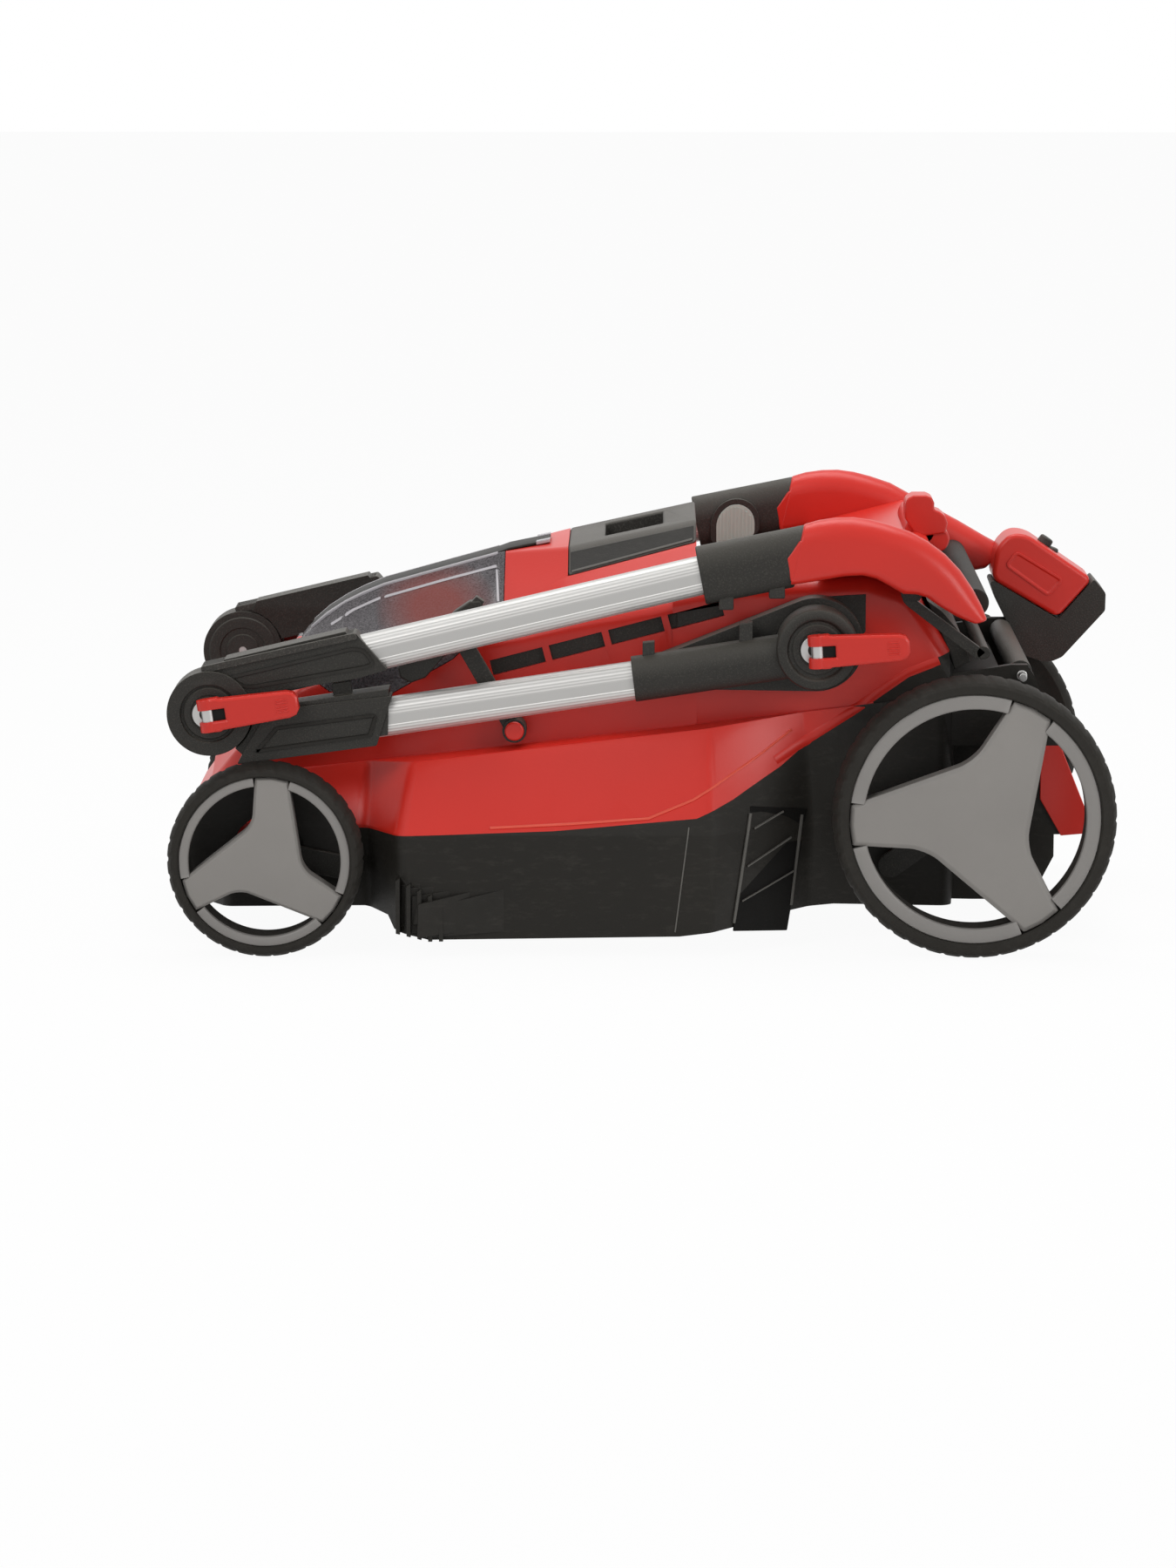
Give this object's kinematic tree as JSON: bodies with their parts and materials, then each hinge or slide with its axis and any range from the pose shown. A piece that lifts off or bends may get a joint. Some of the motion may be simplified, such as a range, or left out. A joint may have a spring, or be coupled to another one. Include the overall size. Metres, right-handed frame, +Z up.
{
  "type": "push lawn mower",
  "caption": "Cordless push mower with a folding tube handle, smoky battery lid, adjustable cutting height, rear grass flap and a spinning blade under its deck.",
  "frame": {"origin": "on the ground under the middle of the overall box", "axes": "+X to the rear, +Y to the user's right, +Z up"},
  "size_m": [0.719, 0.42, 0.3299],
  "materials": {
    "tyre_rubber": "matt black",
    "wheel_grey": "satin mid grey",
    "tube_aluminium": "satin anodised",
    "plain_steel": "plain zinc",
    "motor_casting": "as cast",
    "smoky_lid": "translucent smoky",
    "dark_grey": "grained dark grey",
    "red_plastic": "semi-gloss red",
    "soft_grip": "soft matt black",
    "black_plastic": "grained black"
  },
  "bodies": {
    "chassis": {"cutting_deck": "black_plastic", "motor_hood": "red_plastic", "vent_grilles": "black_plastic", "carry_handle": "dark_grey", "battery_tray": "black_plastic", "front_battery": "black_plastic", "rear_battery": "black_plastic", "safety_key": "red_plastic", "motor_housing": "motor_casting", "motor_screws": "plain_steel", "controller_box": "black_plastic", "handle_bracket_left": "black_plastic", "handle_bracket_right": "black_plastic", "height_lever_pin": "plain_steel", "flap_rod": "plain_steel", "lid_pin": "plain_steel", "rear_clamp_bolts": "plain_steel"},
    "lower_handle": {"lower_tube_left": "tube_aluminium", "lower_tube_right": "tube_aluminium", "lower_sleeve_left": "black_plastic", "lower_sleeve_right": "black_plastic", "lower_knuckle_left": "black_plastic", "lower_knuckle_right": "black_plastic"},
    "upper_handle": {"upper_knuckle_left": "black_plastic", "upper_knuckle_right": "black_plastic", "upper_tube_left": "tube_aluminium", "upper_tube_right": "tube_aluminium", "upper_sleeve_left": "black_plastic", "upper_sleeve_right": "black_plastic", "handle_yoke": "red_plastic", "grip_bar": "soft_grip", "control_housing": "red_plastic", "control_shell": "black_plastic", "middle_clamp_bolts": "plain_steel"},
    "rear_axle": {"rear_axle": "plain_steel"},
    "front_axle": {"front_axle": "plain_steel"},
    "height_lever": {"height_lever": "black_plastic"},
    "battery_lid": {"battery_lid": "smoky_lid"},
    "rear_flap": {"rear_flap": "red_plastic"},
    "bail": {"bail": "black_plastic"},
    "safety_button": {"safety_button": "black_plastic"},
    "blade": {"blade": "plain_steel", "blade_carrier": "black_plastic", "motor_shaft": "plain_steel"},
    "rear_cam_left": {"rear_cam_lever_left": "red_plastic"},
    "middle_cam_left": {"middle_cam_lever_left": "red_plastic"},
    "front_wheel_left": {"front_wheel_tyre_left": "tyre_rubber", "front_wheel_ring_left": "wheel_grey", "front_wheel_spokes_left": "wheel_grey"},
    "rear_wheel_left": {"rear_wheel_tyre_left": "tyre_rubber", "rear_wheel_ring_left": "wheel_grey", "rear_wheel_spokes_left": "wheel_grey"},
    "rear_cam_right": {"rear_cam_lever_right": "red_plastic"},
    "middle_cam_right": {"middle_cam_lever_right": "red_plastic"},
    "front_wheel_right": {"front_wheel_tyre_right": "tyre_rubber", "front_wheel_ring_right": "wheel_grey", "front_wheel_spokes_right": "wheel_grey"},
    "rear_wheel_right": {"rear_wheel_tyre_right": "tyre_rubber", "rear_wheel_ring_right": "wheel_grey", "rear_wheel_spokes_right": "wheel_grey"}
  },
  "joints": [
    {"name": "lower_fold", "type": "hinge", "parent": "chassis", "child": "lower_handle", "pos_m": [0.1217, 0, 0.2286], "axis": [0, 1, 0], "range_deg": [0, 136]},
    {"name": "upper_fold", "type": "hinge", "parent": "lower_handle", "child": "upper_handle", "pos_m": [-0.328, 0, 0.1805], "axis": [0, -1, 0], "range_deg": [0, 175.2]},
    {"name": "lid_hinge", "type": "hinge", "parent": "chassis", "child": "battery_lid", "pos_m": [-0.271, 0, 0.222], "axis": [0, -1, 0], "range_deg": [0, 75]},
    {"name": "flap_hinge", "type": "hinge", "parent": "chassis", "child": "rear_flap", "pos_m": [0.276, 0, 0.203], "axis": [0, -1, 0], "range_deg": [0, 62]},
    {"name": "rear_height", "type": "hinge", "parent": "chassis", "child": "rear_axle", "pos_m": [0.1783, 0, 0.062], "axis": [0, 1, 0], "range_deg": [0, 36.8]},
    {"name": "front_height", "type": "hinge", "parent": "chassis", "child": "front_axle", "pos_m": [-0.2264, 0, 0.06], "axis": [0, -1, 0], "range_deg": [0, 40.6]},
    {"name": "height_lever_turn", "type": "hinge", "parent": "chassis", "child": "height_lever", "pos_m": [-0.103, -0.15, 0.163], "axis": [0, 1, 0], "range_deg": [0, 36.8]},
    {"name": "blade_spin", "type": "hinge", "parent": "chassis", "child": "blade", "pos_m": [-0.052, 0, 0.03], "axis": [0, 0, 1], "continuous": true},
    {"name": "bail_pull", "type": "hinge", "parent": "upper_handle", "child": "bail", "pos_m": [0.197, 0, 0.28], "axis": [0, -1, 0], "range_deg": [0, 16], "stiffness_Nm_per_rad": 0.6},
    {"name": "safety_press", "type": "slide", "parent": "upper_handle", "child": "safety_button", "axis": [-0.324, 0, -0.9461], "range_m": [0, 0.004], "stiffness_N_per_m": 200},
    {"name": "rear_cam_open_left", "type": "hinge", "parent": "chassis", "child": "rear_cam_left", "pos_m": [0.1217, -0.197, 0.2286], "axis": [0.061, 0, -0.9981], "range_deg": [0, 110]},
    {"name": "middle_cam_open_left", "type": "hinge", "parent": "upper_handle", "child": "middle_cam_left", "pos_m": [-0.328, -0.197, 0.1805], "axis": [0.1478, 0, -0.989], "range_deg": [0, 110]},
    {"name": "rear_wheel_spin_left", "type": "hinge", "parent": "rear_axle", "child": "rear_wheel_left", "pos_m": [0.2383, -0.19, 0.105], "axis": [0, 1, 0], "continuous": true},
    {"name": "front_wheel_spin_left", "type": "hinge", "parent": "front_axle", "child": "front_wheel_left", "pos_m": [-0.287, -0.19, 0.0725], "axis": [0, 1, 0], "continuous": true},
    {"name": "rear_cam_open_right", "type": "hinge", "parent": "chassis", "child": "rear_cam_right", "pos_m": [0.1217, 0.197, 0.2286], "axis": [-0.061, 0, 0.9981], "range_deg": [0, 110]},
    {"name": "middle_cam_open_right", "type": "hinge", "parent": "upper_handle", "child": "middle_cam_right", "pos_m": [-0.328, 0.197, 0.1805], "axis": [-0.1478, 0, 0.989], "range_deg": [0, 110]},
    {"name": "rear_wheel_spin_right", "type": "hinge", "parent": "rear_axle", "child": "rear_wheel_right", "pos_m": [0.2383, 0.19, 0.105], "axis": [0, 1, 0], "continuous": true},
    {"name": "front_wheel_spin_right", "type": "hinge", "parent": "front_axle", "child": "front_wheel_right", "pos_m": [-0.287, 0.19, 0.0725], "axis": [0, 1, 0], "continuous": true}
  ],
  "couplings": [
    {"joint": "upper_fold", "follows": "lower_fold", "ratio": 1.288},
    {"joint": "front_height", "follows": "rear_height", "ratio": 1.103},
    {"joint": "height_lever_turn", "follows": "rear_height", "ratio": 1}
  ]
}
